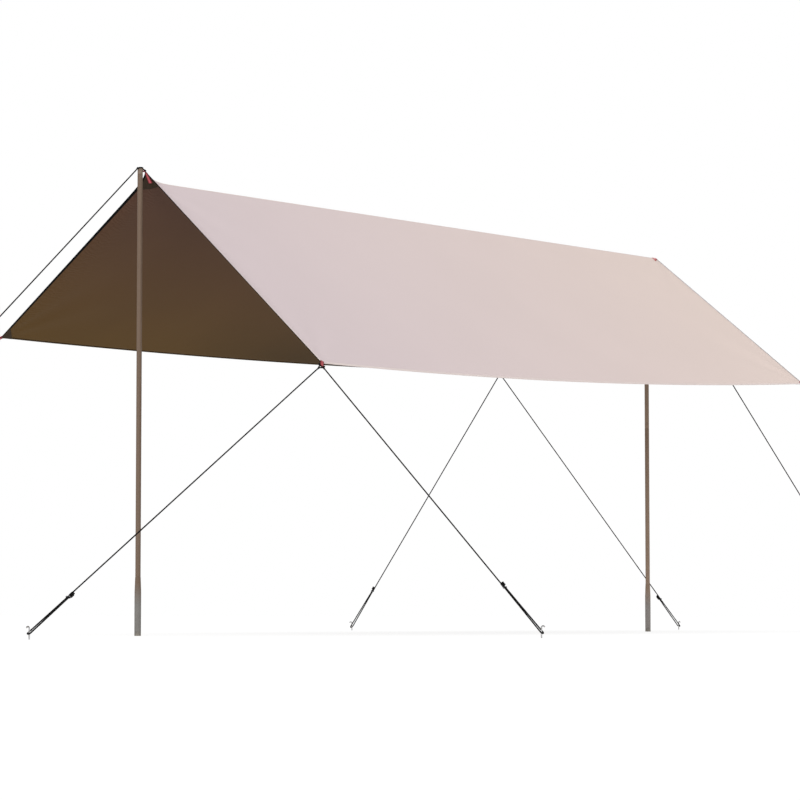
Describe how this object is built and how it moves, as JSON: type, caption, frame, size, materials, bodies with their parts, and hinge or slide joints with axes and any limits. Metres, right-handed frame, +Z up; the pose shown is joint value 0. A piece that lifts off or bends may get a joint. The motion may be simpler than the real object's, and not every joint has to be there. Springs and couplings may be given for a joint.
{
  "type": "ridge canopy tent",
  "caption": "Rectangular canopy cloth pitched over a ridge on upright poles, held taut by guy lines with tensioners and ground pegs.",
  "frame": {"origin": "on the ground at the middle of the space between the pegs, under the middle of the ridge", "axes": "+X along the ridge towards the far end, -Y towards the front side, +Z up"},
  "size_m": [11.0012, 5.0412, 2.4833],
  "materials": {
    "cloth": "coated woven polyester, pale outside, dark brown inside",
    "webbing": "red woven webbing",
    "pole_paint": "satin taupe powder coat on tube",
    "foot_rubber": "matt grey rubber boot",
    "cap_plastic": "taupe moulded cap with a pin",
    "rope": "black braided cord",
    "tensioner_metal": "black anodised bar",
    "peg_steel": "zinc plated round steel"
  },
  "bodies": {
    "root": {"canopy_sheet": "cloth", "strap_ridge_near": "webbing", "strap_ridge_far": "webbing", "strap_front_near": "webbing", "strap_front_far": "webbing", "strap_rear_near": "webbing", "strap_rear_far": "webbing", "near_pole_foot": "foot_rubber", "near_pole_lower": "pole_paint", "near_pole_upper": "pole_paint", "near_pole_tip": "cap_plastic", "far_pole_foot": "foot_rubber", "far_pole_lower": "pole_paint", "far_pole_upper": "pole_paint", "far_pole_tip": "cap_plastic", "guy_ridge_near": "rope", "tensioner_ridge_near": "tensioner_metal", "peg_ridge_near": "peg_steel", "guy_ridge_far": "rope", "tensioner_ridge_far": "tensioner_metal", "peg_ridge_far": "peg_steel", "guy_front_near_end": "rope", "tensioner_front_near_end": "tensioner_metal", "peg_front_near_end": "peg_steel", "guy_front_near_side": "rope", "tensioner_front_near_side": "tensioner_metal", "peg_front_near_side": "peg_steel", "guy_front_far_end": "rope", "tensioner_front_far_end": "tensioner_metal", "peg_front_far_end": "peg_steel", "guy_front_far_side": "rope", "tensioner_front_far_side": "tensioner_metal", "peg_front_far_side": "peg_steel", "guy_rear_near_end": "rope", "tensioner_rear_near_end": "tensioner_metal", "peg_rear_near_end": "peg_steel", "guy_rear_near_side": "rope", "tensioner_rear_near_side": "tensioner_metal", "peg_rear_near_side": "peg_steel", "guy_rear_far_end": "rope", "tensioner_rear_far_end": "tensioner_metal", "peg_rear_far_end": "peg_steel", "guy_rear_far_side": "rope", "tensioner_rear_far_side": "tensioner_metal", "peg_rear_far_side": "peg_steel"}
  },
  "joints": []
}
